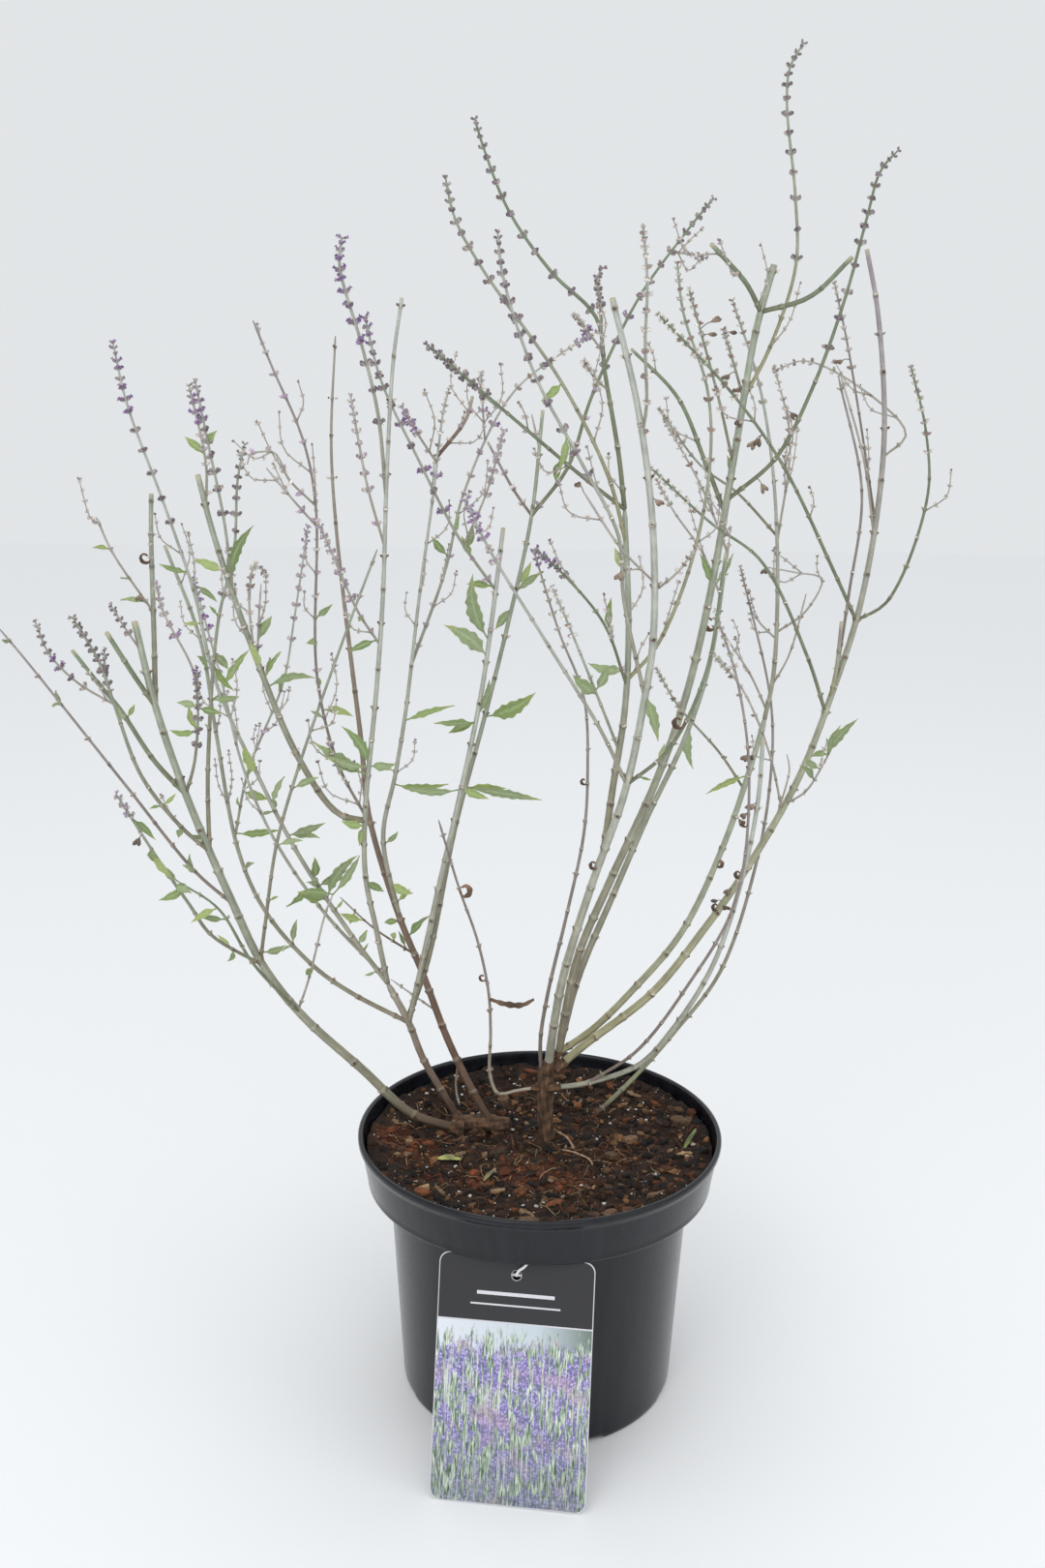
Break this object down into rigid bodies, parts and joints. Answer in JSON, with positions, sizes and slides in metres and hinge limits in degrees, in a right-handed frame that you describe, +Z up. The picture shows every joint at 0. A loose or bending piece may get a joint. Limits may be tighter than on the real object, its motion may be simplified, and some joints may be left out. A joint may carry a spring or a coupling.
{
  "type": "potted russian sage",
  "caption": "Young russian sage with thin woody canes, toothed leaves and violet flower spikes, growing in a nursery pot of peat soil with a hanging plant card.",
  "frame": {"origin": "centre of the pot's foot, on the surface it stands on", "axes": "+Z up along the pot's axis, +X to the plant's right as it is seen from the front, -Y towards the front, where the card hangs"},
  "size_m": [0.4504, 0.2607, 0.6765],
  "materials": {
    "pot": "charcoal, semi-matte, faint vertical streaks",
    "peat": "red-brown fibrous peat with bark and perlite",
    "bark": "rough brown bark",
    "stem_olive": "olive-grey woody stem",
    "stem_pale": "pale grey-green woody stem",
    "stem_brown": "reddish-brown woody stem",
    "stem_dry": "dry purplish-grey stem",
    "leaf": "matte leaf",
    "card": "printed glossy card",
    "strand": "white plastic strand"
  },
  "bodies": {
    "root": {"pot": "pot", "soil": "peat", "crown_left": "bark", "crown_right": "bark", "cane_left_outer": "stem_olive", "cane_left_inner": "stem_pale", "cane_left_brown": "stem_brown", "cane_dead": "stem_dry", "cane_middle_thin": "stem_dry", "cane_front": "stem_pale", "cane_tall": "stem_olive", "cane_right_outer": "stem_olive", "cane_right_low": "stem_pale", "cane_right_rooted": "stem_dry", "fallen_leaf_left": "leaf", "fallen_leaf_front": "leaf", "fallen_leaf_right": "leaf", "tag": "card", "tag_tie": "strand"}
  },
  "joints": []
}
